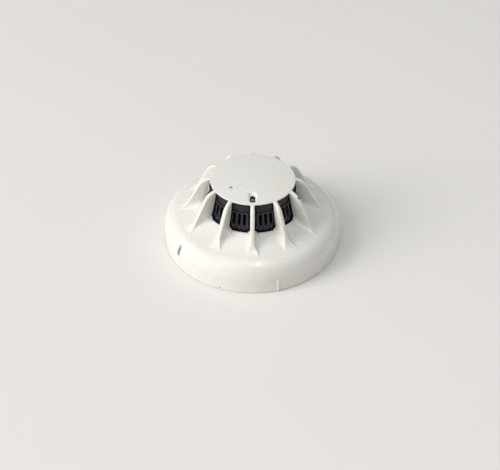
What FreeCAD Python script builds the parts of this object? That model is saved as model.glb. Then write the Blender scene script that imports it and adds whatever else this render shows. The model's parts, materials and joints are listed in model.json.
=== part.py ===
import FreeCAD, Part
import math
import os
import Sketcher

# Plug-in point fire detector head: a ventilated cover over a smoke and heat sensing chamber, a round
# circuit board and a rear moulding with a bayonet spigot and four contact blades.
# Millimetres, +Z towards the cap. The origin is the centre of the rear face, on which the head stands.
# Azimuths are in degrees from -Y, where the alarm lamp is, towards +X.

Vector = FreeCAD.Vector
Rotation = FreeCAD.Rotation
Placement = FreeCAD.Placement

DIMENSIONS = {
    # cover: a turned shell
    "skirt_radius": 54.5,
    "skirt_height": 9.0,
    "cover_wall": 2.0,
    "shoulder_round": 10.6,
    "shoulder_turn": 12.0,
    "dish_round": 100.0,
    "sill_radius": 29.1,
    "sill_height": 24.6,
    "sill_depth": 1.9,
    "cage_wall": 1.3,
    "cage_top_radius": 25.2,
    "cage_top_height": 41.1,
    "cap_radius": 25.5,
    "cap_rim_height": 42.1,
    "cap_height": 43.0,
    "cap_crown_round": 361.7,
    "cap_thickness": 2.2,
    # cover: fins and windows
    "fin_count": 12,
    "fin_thickness": 2.6,
    "fin_crown_radius": 25.2,
    "fin_crown_height": 41.8,
    "fin_crown_round": 8.0,
    "fin_flank_top_radius": 32.3,
    "fin_flank_top_height": 37.57,
    "fin_flank_foot_radius": 39.5,
    "fin_flank_foot_height": 24.12,
    "fin_foot_round": 9.5,
    "fin_toe_radius": 45.9,
    "fin_toe_height": 19.32,
    "window_top_width": 10.8,
    "window_foot_width": 12.2,
    "window_corner": 1.8,
    "window_cut_start": 22.0,
    "window_cut_depth": 12.0,
    # cover: lamp recess, latch slot, alignment rib, hooks and seats
    "lamp_radius": 19.6,
    "recess_length": 9.0,
    "recess_width": 4.8,
    "recess_floor": 41.7,
    "lamp_hole_length": 6.0,
    "lamp_hole_width": 3.0,
    "latch_slot_azimuth": -53.0,
    "latch_slot_width": 2.4,
    "latch_slot_radius": 51.6,
    "latch_slot_foot": 8.8,
    "rib_azimuth": 16.0,
    "rib_width": 1.1,
    "rib_height": 8.4,
    "rib_proud": 0.5,
    "hook_count": 3,
    "hook_radius": 50.4,
    "hook_width": 6.0,
    "hook_foot": 3.0,
    "hook_length": 11.0,
    "seat_count": 6,
    "seat_radius": 49.4,
    "seat_width": 1.5,
    "seat_length": 6.0,
    # rear moulding
    "plate_radius": 52.0,
    "plate_foot": 5.0,
    "plate_thickness": 2.0,
    "notch_radius": 49.9,
    "notch_width": 7.0,
    "spigot_radius": 38.0,
    "spigot_wall": 3.0,
    "groove_radius": 36.2,
    "groove_entry_width": 7.0,
    "groove_run_foot": 3.0,
    "groove_run_length": 9.0,
    "web_count": 12,
    "web_thickness": 1.2,
    "web_start": 42.0,
    "web_reach": 48.5,
    "web_foot": 3.0,
    "board_fence_radius": 48.0,
    "board_fence_wall": 1.5,
    "board_fence_height": 2.4,
    "boss_radius": 3.0,
    # circuit board and its screws
    "board_radius": 44.0,
    "board_foot": 9.0,
    "board_thickness": 1.6,
    "screw_circle": 40.0,
    "screw_count": 3,
    "screw_radius": 1.0,
    "screw_clearance_radius": 1.4,
    "screw_foot": 5.8,
    "screw_head_radius": 2.2,
    "screw_head_height": 1.6,
    "screw_cross_length": 2.4,
    "screw_cross_width": 0.6,
    # board components that are not plain blocks
    "can_foot_size": 6.6,
    "can_foot_height": 1.0,
    "can_radius": 3.1,
    "can_height": 5.6,
    "can_circle": 37.0,
    "reservoir_azimuth": 86.0,
    "pulse_azimuth": -152.0,
    # contact blades
    "blade_count": 4,
    "blade_inner_radius": 19.5,
    "blade_outer_radius": 33.0,
    "blade_width": 8.0,
    "blade_thickness": 0.8,
    "blade_dimple_radius": 29.0,
    "blade_dimple_size": 2.2,
    "blade_tab_width": 3.0,
    "blade_tab_top": 11.7,
    "tab_slot_width": 3.4,
    "tab_slot_depth": 1.2,
    "rivet_circle": 23.4,
    "rivet_radius": 1.25,
    "rivet_head_radius": 2.1,
    "rivet_head_height": 0.8,
    "label_radius": 16.5,
    "label_thickness": 0.2,
    # sensing chamber
    "chamber_radius": 24.5,
    "chamber_wall": 1.2,
    "base_floor": 1.6,
    "base_top": 22.0,
    "lid_foot": 22.3,
    "slot_count": 54,
    "slot_foot": 27.7,
    "slot_top": 34.9,
    "slot_width": 1.65,
    "flange_radius": 24.7,
    "flange_top": 36.0,
    "crown_radius": 23.3,
    "crown_wall": 0.8,
    "lid_top": 39.8,
    "lid_plate": 1.2,
    "channel_inner_radius": 17.4,
    "channel_wall": 0.8,
    "channel_width": 4.4,
    "screen_radius": 22.3,
    "screen_thickness": 0.3,
    "screen_foot": 26.6,
    "vane_pitch": 18.0,
    "vane_count": 19,
    "vane_circle": 19.4,
    "vane_length": 3.6,
    "vane_thickness": 0.9,
    "vane_slant": 40.0,
    "vane_top": 34.0,
    # optical pair
    "emitter_azimuth": 60.0,
    "receiver_azimuth": 195.0,
    "holder_inner": 8.0,
    "holder_outer": 15.6,
    "holder_width": 8.0,
    "holder_top": 27.0,
    "optic_height": 23.0,
    "optic_radius": 2.5,
    "optic_bore_radius": 2.55,
    "optic_tip": 8.8,
    "optic_flange_radius": 2.9,
    "optic_flange": 0.9,
    "lead_size": 0.5,
    "lead_pitch": 2.54,
    "lead_drop": 17.0,
    # alarm lamp
    "lamp_body_radius": 1.5,
    "lamp_flange_radius": 1.8,
    "lamp_flange_height": 0.9,
    "lamp_foot": 35.6,
    "lamp_top": 40.6,
    "lamp_post_radius": 1.75,
    # thermistors
    "bead_azimuth": 165.0,
    "bead_circle": 23.7,
    "bead_radius": 1.1,
    "bead_height": 31.5,
    "bead_lead_radius": 0.2,
    "bead_lead_pitch": 1.2,
    "bead_channel_radius": 22.1,
    "bead_channel_width": 3.8,
    "bead_channel_top": 34.9,
    "bead_collar_height": 0.6,
    "bead_collar_wall": 0.4,
}

# board components: length along the radius, width, height, radius of the middle, azimuth
CHIPS = {
    "microcontroller": (7.5, 12.8, 2.3, 36.5, 0.0),
    "bridge_rectifier": (6.4, 4.8, 2.4, 37.0, -90.0),
    "surge_suppressor": (4.4, 3.6, 2.2, 37.0, -105.0),
    "voltage_regulator": (3.5, 4.5, 1.5, 37.0, 106.0),
    "signal_amplifier": (4.0, 5.0, 1.6, 37.0, 152.0),
    "reference_thermistor": (1.6, 0.8, 0.5, 41.5, 172.0),
}

# small components in rows: length, width, height, and then the radius and azimuths of each row
CHIP_ROWS = {
    "transistors": (1.4, 2.9, 1.1, [
        (39.5, (20, 27, 34, -20, -27, -132)),
    ]),
    "ceramic_capacitors": (1.25, 2.0, 0.9, [
        (33.0, (17, 23, 29, -17, -23, -29, 70, 98, 120, 165, -165, -120, -75)),
    ]),
    "chip_resistors": (1.25, 2.0, 0.5, [
        (30.0, range(-170, 180, 20)),
        (42.2, range(20, 48, 4)),
    ]),
}

for name, numbers in CHIPS.items():
    for quantity, number in zip(("length", "width", "height", "circle", "azimuth"), numbers):
        DIMENSIONS[f"{name}_{quantity}"] = number
for name, numbers in CHIP_ROWS.items():
    for quantity, number in zip(("length", "width", "height"), numbers):
        DIMENSIONS[f"{name}_{quantity}"] = number

BITE = 0.5    # how far an added feature reaches into what it joins
CLEAR = 2.0   # how far a cut runs past what it cuts


class Size:
    """A number that also carries the sheet formula it comes from."""

    def __init__(self, value, formula):
        self.value = value
        self.formula = formula

    def __add__(self, other):
        other = as_size(other)
        return Size(self.value + other.value, f"({self.formula} + {other.formula})")

    def __sub__(self, other):
        other = as_size(other)
        return Size(self.value - other.value, f"({self.formula} - {other.formula})")

    def __mul__(self, other):
        other = as_size(other)
        return Size(self.value * other.value, f"({self.formula} * {other.formula})")

    def __truediv__(self, other):
        other = as_size(other)
        return Size(self.value / other.value, f"({self.formula} / {other.formula})")

    def __neg__(self):
        return self * -1

    def sin(self):
        return Size(math.sin(math.radians(self.value)), f"sin({self.formula})")

    def cos(self):
        return Size(math.cos(math.radians(self.value)), f"cos({self.formula})")


def as_size(number):
    if isinstance(number, Size):
        return number
    return Size(float(number), f"({float(number)})")


class Sheet:
    """The driving dimensions, one sheet cell and one attribute for each name."""


doc = FreeCAD.newDocument("DetectorHead")
sheet = doc.addObject("Spreadsheet::Sheet", "Sizes")
S = Sheet()
for row, (alias, number) in enumerate(DIMENSIONS.items(), start=1):
    sheet.set(f"A{row}", alias.replace("_", " "))
    sheet.set(f"B{row}", str(number))
    sheet.setAlias(f"B{row}", alias)
    setattr(S, alias, Size(float(number), f"Sizes.{alias}"))
doc.recompute()

PLATE_TOP = S.plate_foot + S.plate_thickness
BOARD_TOP = S.board_foot + S.board_thickness
SKIRT_INNER = S.skirt_radius - S.cover_wall
parts = []


def bind(thing, prop, size):
    thing.setExpression(prop, as_size(size).formula)


def add_body(label):
    body = doc.addObject("PartDesign::Body", label)
    body.Label = label
    return body


def origin_plane(body, role):
    return next(feature for feature in body.Origin.OriginFeatures if feature.Role == role)


def add_sketch(body, role, rise=0, turn=0):
    """A sketch on an origin plane, raised along the plane's normal after a turn about Z."""
    sketch = body.newObject("Sketcher::SketchObject", "Sketch")
    sketch.AttachmentSupport = [(origin_plane(body, role), "")]
    sketch.MapMode = "FlatFace"
    rise = as_size(rise)
    turn = as_size(turn)
    if role == "XY_Plane":
        sketch.AttachmentOffset = Placement(Vector(0, 0, rise.value), Rotation(Vector(0, 0, 1), turn.value))
        bind(sketch, ".AttachmentOffset.Base.z", rise)
    else:
        away = Vector(rise.value * turn.sin().value, 0, rise.value * turn.cos().value)
        sketch.AttachmentOffset = Placement(away, Rotation(Vector(0, 1, 0), turn.value))
        bind(sketch, ".AttachmentOffset.Base.x", rise * turn.sin())
        bind(sketch, ".AttachmentOffset.Base.z", rise * turn.cos())
    bind(sketch, ".AttachmentOffset.Rotation.Angle", turn)
    return sketch


def constrain(sketch, size, kind, *where):
    index = sketch.addConstraint(Sketcher.Constraint(kind, *where, size.value))
    bind(sketch, f"Constraints[{index}]", size)


def arc_through(start, end, radius):
    """The short arc from start to end; its centre is on the left for a positive radius."""
    chord = end - start
    half = chord.Length / 2
    reach = math.sqrt(max(radius * radius - half * half, 0.0))
    left = Vector(-chord.y, chord.x, 0).normalize()
    centre = (start + end) * 0.5 + left * math.copysign(reach, radius)
    first, last = (start, end) if radius > 0 else (end, start)
    angles = [math.atan2(point.y - centre.y, point.x - centre.x) for point in (first, last)]
    if angles[1] < angles[0]:
        angles[1] += 2 * math.pi
    circle = Part.Circle(centre, Vector(0, 0, 1), abs(radius))
    return Part.ArcOfCircle(circle, angles[0], angles[1])


def draw_outline(sketch, corners):
    """A closed outline. A corner is (x, y), or (x, y, radius) where an arc leads to the next corner."""
    corners = [tuple(as_size(number) for number in corner) for corner in corners]
    points = [Vector(corner[0].value, corner[1].value, 0) for corner in corners]
    ends = []
    for index, corner in enumerate(corners):
        start = points[index]
        end = points[(index + 1) % len(points)]
        if len(corner) == 3:
            edge = sketch.addGeometry(arc_through(start, end, corner[2].value), False)
            ends.append((edge, 1, 2) if corner[2].value > 0 else (edge, 2, 1))
        else:
            edge = sketch.addGeometry(Part.LineSegment(start, end), False)
            ends.append((edge, 1, 2))
    for index, (edge, first, last) in enumerate(ends):
        next_edge, next_first, next_last = ends[(index + 1) % len(ends)]
        sketch.addConstraint(Sketcher.Constraint("Coincident", edge, last, next_edge, next_first))
    for (edge, first, last), corner in zip(ends, corners):
        constrain(sketch, corner[0], "DistanceX", edge, first)
        constrain(sketch, corner[1], "DistanceY", edge, first)
        if len(corner) == 3:
            radius = corner[2] if corner[2].value > 0 else -corner[2]
            constrain(sketch, radius, "Radius", edge)
    return sketch


def draw_box(sketch, low_x, high_x, low_y, high_y):
    return draw_outline(sketch, [(low_x, low_y), (high_x, low_y), (high_x, high_y), (low_x, high_y)])


def draw_circle(sketch, centre_x, centre_y, radius):
    centre_x, centre_y, radius = (as_size(number) for number in (centre_x, centre_y, radius))
    circle = Part.Circle(Vector(centre_x.value, centre_y.value, 0), Vector(0, 0, 1), radius.value)
    edge = sketch.addGeometry(circle, False)
    constrain(sketch, centre_x, "DistanceX", edge, 3)
    constrain(sketch, centre_y, "DistanceY", edge, 3)
    constrain(sketch, radius, "Radius", edge)
    return sketch


def add_feature(body, kind, sketch):
    feature = body.newObject(f"PartDesign::{kind}", kind)
    feature.Profile = sketch
    return feature


def revolve(body, sketch):
    turned = add_feature(body, "Revolution", sketch)
    turned.ReferenceAxis = (sketch, ["V_Axis"])
    turned.Angle = 360.0
    return turned


def pad(body, sketch, length, both_ways=False):
    raised = add_feature(body, "Pad", sketch)
    raised.Length = as_size(length).value
    bind(raised, "Length", length)
    raised.Midplane = both_ways
    return raised


def pocket(body, sketch, length, along_normal=True):
    """Cut away from the sketch, along its normal or against it, and check that it did cut."""
    doc.recompute()
    before = body.Shape.Volume
    cut = add_feature(body, "Pocket", sketch)
    cut.Length = as_size(length).value
    bind(cut, "Length", length)
    cut.Reversed = along_normal
    doc.recompute()
    if not body.Shape.Volume < before - 1e-3:
        raise RuntimeError(f"a pocket in {body.Label} removes nothing")
    return cut


def polar_pattern(body, feature, count, sweep=360.0):
    pattern = body.newObject("PartDesign::PolarPattern", "PolarPattern")
    pattern.Originals = [feature]
    pattern.Axis = (origin_plane(body, "Z_Axis"), [""])
    pattern.Angle = sweep
    pattern.Occurrences = int(as_size(count).value)
    bind(pattern, "Occurrences", count)
    body.Tip = pattern
    return pattern


def polar_place(thing, radius, azimuth, height, spin=0.0):
    """Stand a thing at a radius and an azimuth, its own +X along the radius unless spun."""
    radius, azimuth, height = (as_size(number) for number in (radius, azimuth, height))
    x = radius * azimuth.sin()
    y = -(radius * azimuth.cos())
    turn = azimuth.value - 90.0 + spin
    thing.Placement = Placement(Vector(x.value, y.value, height.value), Rotation(Vector(0, 0, 1), turn))
    bind(thing, ".Placement.Base.x", x)
    bind(thing, ".Placement.Base.y", y)
    bind(thing, ".Placement.Base.z", height)
    return thing


def finish(thing, label):
    thing.Label = label
    parts.append(thing)
    return thing


def group(label, things):
    compound = doc.addObject("Part::Compound", label)
    compound.Links = things
    return finish(compound, label)


def box_body(label, length, width, height):
    """A block centred over its own origin, length along X and width along Y."""
    body = add_body(label)
    length, width = as_size(length), as_size(width)
    sketch = add_sketch(body, "XY_Plane")
    draw_box(sketch, -length / 2, length / 2, -width / 2, width / 2)
    pad(body, sketch, height)
    return body


def turned_body(label, corners):
    body = add_body(label)
    revolve(body, draw_outline(add_sketch(body, "XZ_Plane"), corners))
    return body


# ---------------------------------------------------------------- outer cover

def make_cover():
    shoulder_centre = S.skirt_radius - S.shoulder_round
    inner_round = S.shoulder_round - S.cover_wall
    lean_out = S.shoulder_turn.sin()
    lean_up = S.shoulder_turn.cos()
    sill_inner = S.sill_radius - S.cage_wall
    cage_inner_top = S.cage_top_radius - S.cage_wall
    body = turned_body("outer_cover", [
        (0, S.cap_height, -S.cap_crown_round),
        (S.cap_radius, S.cap_rim_height),
        (S.cage_top_radius, S.cage_top_height),
        (S.sill_radius, S.sill_height, S.dish_round),
        (shoulder_centre + S.shoulder_round * lean_out, S.skirt_height + S.shoulder_round * lean_up,
         -S.shoulder_round),
        (S.skirt_radius, S.skirt_height),
        (S.skirt_radius, 0),
        (SKIRT_INNER, 0),
        (SKIRT_INNER, S.skirt_height, inner_round),
        (shoulder_centre + inner_round * lean_out, S.skirt_height + inner_round * lean_up,
         -(S.dish_round + S.cover_wall)),
        (sill_inner, S.sill_height - S.sill_depth),
        (sill_inner, S.sill_height),
        (cage_inner_top, S.cage_top_height),
        (cage_inner_top, S.cap_height - S.cap_thickness),
        (0, S.cap_height - S.cap_thickness),
    ])

    # fins: a radial web with a rounded crown, a straight flank and a hollow foot
    fin = draw_outline(add_sketch(body, "XZ_Plane"), [
        (S.cage_top_radius - S.cage_wall / 2, S.cage_top_height),
        (S.cage_top_radius - S.cage_wall / 2, S.fin_crown_height),
        (S.fin_crown_radius, S.fin_crown_height, -S.fin_crown_round),
        (S.fin_flank_top_radius, S.fin_flank_top_height),
        (S.fin_flank_foot_radius, S.fin_flank_foot_height, S.fin_foot_round),
        (S.fin_toe_radius, S.fin_toe_height),
        (S.sill_radius, S.sill_height - S.cover_wall / 2),
        (S.sill_radius - S.cage_wall / 2, S.sill_height),
    ])
    polar_pattern(body, pad(body, fin, S.fin_thickness, both_ways=True), S.fin_count)

    # windows between the fins
    low, high, corner = S.sill_height, S.cage_top_height, S.window_corner
    foot, top = S.window_foot_width / 2, S.window_top_width / 2
    window = draw_outline(add_sketch(body, "YZ_Plane", S.window_cut_start, as_size(180) / S.fin_count), [
        (-(foot - corner), low),
        (foot - corner, low, corner),
        (foot, low + corner),
        (top, high - corner, corner),
        (top - corner, high),
        (-(top - corner), high, corner),
        (-top, high - corner),
        (-foot, low + corner, corner),
    ])
    polar_pattern(body, pocket(body, window, S.window_cut_depth), S.fin_count)

    # lamp recess and the hole below it
    for length, width, floor in (
        (S.recess_length, S.recess_width, S.recess_floor),
        (S.lamp_hole_length, S.lamp_hole_width, S.cap_height - S.cap_thickness - BITE),
    ):
        half = width / 2
        near = -(S.lamp_radius - length / 2 + half)
        far = -(S.lamp_radius + length / 2 - half)
        slot = draw_outline(add_sketch(body, "XY_Plane", rise=floor), [
            (half, far),
            (half, near, half),
            (0, near + half, half),
            (-half, near),
            (-half, far, half),
            (0, far - half, half),
        ])
        pocket(body, slot, S.cap_thickness + CLEAR)

    # latch slot through the shoulder
    half = S.latch_slot_width / 2
    slot = add_sketch(body, "XY_Plane", rise=S.latch_slot_foot, turn=S.latch_slot_azimuth - 90)
    draw_box(slot, S.latch_slot_radius, S.skirt_radius + CLEAR, -half, half)
    pocket(body, slot, S.shoulder_round)

    # alignment rib on the skirt
    half = S.rib_width / 2
    rib = add_sketch(body, "XY_Plane", turn=S.rib_azimuth - 90)
    draw_box(rib, S.skirt_radius - BITE, S.skirt_radius + S.rib_proud, -half, half)
    pad(body, rib, S.rib_height)

    # snap hooks that key into the rear moulding, and seats that rest on it
    for count, radius, width, foot, length, turn in (
        (S.hook_count, S.hook_radius, S.hook_width, S.hook_foot, S.hook_length, 0),
        (S.seat_count, S.seat_radius, S.seat_width, PLATE_TOP, S.seat_length, 30),
    ):
        sketch = add_sketch(body, "XY_Plane", rise=foot, turn=turn)
        draw_box(sketch, radius, SKIRT_INNER + BITE, -width / 2, width / 2)
        polar_pattern(body, pad(body, sketch, length), count)
    return finish(body, "outer_cover")


# ---------------------------------------------------------------- rear moulding and contacts

def make_rear_body():
    fence_inner = S.board_fence_radius - S.board_fence_wall
    spigot_inner = S.spigot_radius - S.spigot_wall
    body = turned_body("rear_body", [
        (0, S.plate_foot),
        (spigot_inner, S.plate_foot),
        (spigot_inner, 0),
        (S.spigot_radius, 0),
        (S.spigot_radius, S.plate_foot),
        (S.plate_radius, S.plate_foot),
        (S.plate_radius, PLATE_TOP),
        (S.board_fence_radius, PLATE_TOP),
        (S.board_fence_radius, PLATE_TOP + S.board_fence_height),
        (fence_inner, PLATE_TOP + S.board_fence_height),
        (fence_inner, PLATE_TOP),
        (0, PLATE_TOP),
    ])

    # bosses under the board screws, with their blind holes
    boss = add_sketch(body, "XY_Plane", rise=PLATE_TOP - BITE, turn=-30)
    draw_circle(boss, S.screw_circle, 0, S.boss_radius)
    polar_pattern(body, pad(body, boss, S.board_foot - PLATE_TOP + BITE), S.screw_count)
    hole = add_sketch(body, "XY_Plane", rise=S.screw_foot, turn=-30)
    draw_circle(hole, S.screw_circle, 0, S.screw_radius)
    polar_pattern(body, pocket(body, hole, S.board_foot), S.screw_count)

    # notches in the edge for the cover's hooks
    half = S.notch_width / 2
    notch = add_sketch(body, "XY_Plane")
    draw_box(notch, S.notch_radius, S.plate_radius + CLEAR, -half, half)
    polar_pattern(body, pocket(body, notch, PLATE_TOP + CLEAR), S.hook_count)

    # bayonet grooves: an entry from the rear face and a run round the spigot, under the plate
    half = S.groove_entry_width / 2
    groove = add_sketch(body, "YZ_Plane", rise=S.groove_radius)
    draw_outline(groove, [
        (-half, -CLEAR),
        (half, -CLEAR),
        (half, S.groove_run_foot),
        (S.groove_run_length, S.groove_run_foot),
        (S.groove_run_length, S.plate_foot),
        (-half, S.plate_foot),
    ])
    polar_pattern(body, pocket(body, groove, S.spigot_radius - S.groove_radius + CLEAR), S.hook_count)

    # stiffening webs under the plate, clear of the base's ring that turns round the spigot
    web = add_sketch(body, "XY_Plane", rise=S.web_foot, turn=15)
    draw_box(web, S.web_start, S.web_reach, -S.web_thickness / 2, S.web_thickness / 2)
    polar_pattern(body, pad(body, web, S.plate_foot - S.web_foot + BITE), S.web_count)

    # a rivet hole and a tab slot for each contact blade
    rivet = add_sketch(body, "XY_Plane", turn=45)
    draw_circle(rivet, S.rivet_circle, 0, S.rivet_radius)
    polar_pattern(body, pocket(body, rivet, S.board_foot), S.blade_count)
    polar_pattern(body, pocket(body, draw_tab_slot(body), S.board_foot), S.blade_count)
    return finish(body, "rear_body")


def draw_tab_slot(body):
    middle = S.blade_outer_radius - S.blade_thickness / 2
    slot = add_sketch(body, "XY_Plane", turn=45)
    return draw_box(slot, middle - S.tab_slot_depth / 2, middle + S.tab_slot_depth / 2,
                    -S.tab_slot_width / 2, S.tab_slot_width / 2)


def make_contact_blade(number):
    """A plated strip under the plate, with a pressed dimple, a rivet hole and an upturned tab."""
    label = f"contact_blade_{number}"
    body = add_body(label)
    foot = S.plate_foot - S.blade_thickness
    strip = add_sketch(body, "XY_Plane", rise=foot)
    draw_box(strip, S.blade_inner_radius, S.blade_outer_radius, -S.blade_width / 2, S.blade_width / 2)
    pad(body, strip, S.blade_thickness)
    tab = add_sketch(body, "XY_Plane", rise=foot)
    draw_box(tab, S.blade_outer_radius - S.blade_thickness, S.blade_outer_radius,
             -S.blade_tab_width / 2, S.blade_tab_width / 2)
    pad(body, tab, S.blade_tab_top - foot)
    dimple = add_sketch(body, "XY_Plane", rise=foot - S.blade_thickness)
    draw_circle(dimple, S.blade_dimple_radius, 0, S.blade_dimple_size)
    pad(body, dimple, S.blade_thickness * 2)
    hole = add_sketch(body, "XY_Plane")
    draw_circle(hole, S.rivet_circle, 0, S.rivet_radius)
    pocket(body, hole, S.board_foot)
    body.Placement = Placement(Vector(0, 0, 0), Rotation(Vector(0, 0, 1), 45 + 90 * number))
    return finish(body, label)


def make_rivet(number):
    foot = S.plate_foot - S.blade_thickness
    body = turned_body(f"rivet_{number}", [
        (0, foot - S.rivet_head_height),
        (S.rivet_head_radius, foot - S.rivet_head_height / 2),
        (S.rivet_head_radius, foot),
        (S.rivet_radius, foot),
        (S.rivet_radius, PLATE_TOP),
        (S.rivet_head_radius, PLATE_TOP),
        (S.rivet_radius, PLATE_TOP + S.rivet_head_height),
        (0, PLATE_TOP + S.rivet_head_height),
    ])
    return polar_place(body, S.rivet_circle, 45 + 90 * number, 0)


# ---------------------------------------------------------------- circuit board

def make_board():
    body = turned_body("circuit_board", [
        (0, S.board_foot),
        (S.board_radius, S.board_foot),
        (S.board_radius, BOARD_TOP),
        (0, BOARD_TOP),
    ])
    hole = add_sketch(body, "XY_Plane", turn=-30)
    draw_circle(hole, S.screw_circle, 0, S.screw_clearance_radius)
    polar_pattern(body, pocket(body, hole, BOARD_TOP + CLEAR), S.screw_count)
    polar_pattern(body, pocket(body, draw_tab_slot(body), BOARD_TOP + CLEAR), S.blade_count)
    return finish(body, "circuit_board")


def make_screw(number):
    body = turned_body(f"screw_{number}", [
        (0, S.screw_foot),
        (S.screw_radius, S.screw_foot),
        (S.screw_radius, BOARD_TOP),
        (S.screw_head_radius, BOARD_TOP),
        (S.screw_head_radius, BOARD_TOP + S.screw_head_height / 2),
        (S.screw_radius, BOARD_TOP + S.screw_head_height),
        (0, BOARD_TOP + S.screw_head_height),
    ])
    half_length, half_width = S.screw_cross_length / 2, S.screw_cross_width / 2
    for turn in (0, 90):
        cross = add_sketch(body, "XY_Plane", rise=BOARD_TOP + S.screw_head_height / 2, turn=turn)
        draw_box(cross, -half_length, half_length, -half_width, half_width)
        pocket(body, cross, S.screw_head_height)
    return polar_place(body, S.screw_circle, 60 + 120 * number, 0)


def make_can_capacitor(label, azimuth):
    """A square foot with a round can on it."""
    body = box_body(label, S.can_foot_size, S.can_foot_size, S.can_foot_height)
    can = draw_circle(add_sketch(body, "XY_Plane"), 0, 0, S.can_radius)
    pad(body, can, S.can_height)
    return finish(polar_place(body, S.can_circle, azimuth, BOARD_TOP), label)


def chip_sizes(name, quantities=("length", "width", "height")):
    return [getattr(S, f"{name}_{quantity}") for quantity in quantities]


def make_components():
    make_can_capacitor("reservoir_capacitor", S.reservoir_azimuth)
    make_can_capacitor("pulse_capacitor", S.pulse_azimuth)
    for name in CHIPS:
        circle, azimuth = chip_sizes(name, ("circle", "azimuth"))
        finish(polar_place(box_body(name, *chip_sizes(name)), circle, azimuth, BOARD_TOP), name)
    for name, numbers in CHIP_ROWS.items():
        chips = []
        for radius, azimuths in numbers[-1]:
            for azimuth in azimuths:
                chip = box_body(f"{name}_{len(chips)}", *chip_sizes(name))
                chips.append(polar_place(chip, radius, azimuth, BOARD_TOP))
        group(name, chips)


# ---------------------------------------------------------------- sensing chamber

def cut_channel(body, inner, width, azimuth, foot, height):
    """A radial channel, open outwards, from an inner radius to beyond the chamber's wall."""
    sketch = add_sketch(body, "XY_Plane", rise=foot, turn=as_size(azimuth) - 90)
    draw_box(sketch, inner, S.chamber_radius + CLEAR, -width / 2, width / 2)
    pocket(body, sketch, height)


def line_channel(body, foot, height):
    """The walls of the lamp channel, before it is cut."""
    sketch = add_sketch(body, "XY_Plane", rise=foot, turn=-90)
    half = S.channel_width / 2 + S.channel_wall
    inner = S.channel_inner_radius - S.channel_wall
    draw_box(sketch, inner, S.chamber_radius - S.chamber_wall / 2, -half, half)
    pad(body, sketch, height)


def make_chamber_base():
    inner = S.chamber_radius - S.chamber_wall
    floor_top = BOARD_TOP + S.base_floor
    body = turned_body("chamber_base", [
        (0, BOARD_TOP),
        (S.chamber_radius, BOARD_TOP),
        (S.chamber_radius, S.base_top),
        (inner, S.base_top),
        (inner, floor_top),
        (0, floor_top),
    ])
    line_channel(body, floor_top - BITE, S.base_top - floor_top + BITE)

    # labyrinth vanes, set aslant, all round but for the lamp channel
    half_length, half_width = S.vane_length / 2, S.vane_thickness / 2
    corners = []
    for along, across in ((-1, -1), (1, -1), (1, 1), (-1, 1)):
        x = half_length * along * S.vane_slant.cos() - half_width * across * S.vane_slant.sin()
        y = half_length * along * S.vane_slant.sin() + half_width * across * S.vane_slant.cos()
        corners.append((S.vane_circle + x, y))
    vane = draw_outline(add_sketch(body, "XY_Plane", rise=floor_top - BITE, turn=S.vane_pitch - 90), corners)
    sweep = DIMENSIONS["vane_pitch"] * (DIMENSIONS["vane_count"] - 1)
    polar_pattern(body, pad(body, vane, S.vane_top - floor_top + BITE), S.vane_count, sweep)

    # holders for the emitter and the photodiode, aimed at the middle of the chamber
    for azimuth in (S.emitter_azimuth, S.receiver_azimuth):
        block = add_sketch(body, "XY_Plane", rise=floor_top - BITE, turn=azimuth - 90)
        draw_box(block, S.holder_inner, S.holder_outer, -S.holder_width / 2, S.holder_width / 2)
        pad(body, block, S.holder_top - floor_top + BITE)
        bore = add_sketch(body, "YZ_Plane", rise=S.holder_inner - CLEAR, turn=azimuth - 90)
        draw_circle(bore, 0, S.optic_height, S.optic_bore_radius)
        pocket(body, bore, S.holder_outer - S.holder_inner + CLEAR * 2)
        leads = add_sketch(body, "XY_Plane", turn=azimuth - 90)
        draw_box(leads, S.lead_drop - S.lead_size, S.lead_drop + S.lead_size,
                 -(S.lead_pitch / 2 + S.lead_size), S.lead_pitch / 2 + S.lead_size)
        pocket(body, leads, floor_top + CLEAR)

    cut_channel(body, S.channel_inner_radius, S.channel_width, 0, 0, S.lid_top)
    cut_channel(body, S.bead_channel_radius, S.bead_channel_width, S.bead_azimuth, 0, S.lid_top)
    return finish(body, "chamber_base")


def make_chamber_lid():
    inner = S.chamber_radius - S.chamber_wall
    plate_foot = S.lid_top - S.lid_plate
    body = turned_body("chamber_lid", [
        (0, plate_foot),
        (S.crown_radius - S.crown_wall, plate_foot),
        (S.crown_radius - S.crown_wall, S.slot_top),
        (inner, S.slot_top),
        (inner, S.lid_foot),
        (S.chamber_radius, S.lid_foot),
        (S.chamber_radius, S.slot_top),
        (S.flange_radius, S.slot_top),
        (S.flange_radius, S.flange_top),
        (S.crown_radius, S.flange_top),
        (S.crown_radius, S.lid_top),
        (0, S.lid_top),
    ])

    # smoke slots: what stays between them are the slats
    slot = add_sketch(body, "YZ_Plane", rise=inner - CLEAR, turn=as_size(180) / S.slot_count)
    draw_box(slot, -S.slot_width / 2, S.slot_width / 2, S.slot_foot, S.slot_top)
    polar_pattern(body, pocket(body, slot, S.chamber_wall + CLEAR * 2), S.slot_count)

    line_channel(body, S.lid_foot, plate_foot - S.lid_foot + BITE)
    cut_channel(body, S.channel_inner_radius, S.channel_width, 0, 0, S.lid_top + CLEAR)
    cut_channel(body, S.bead_channel_radius, S.bead_channel_width, S.bead_azimuth, 0, S.bead_channel_top)
    return finish(body, "chamber_lid")


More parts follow.
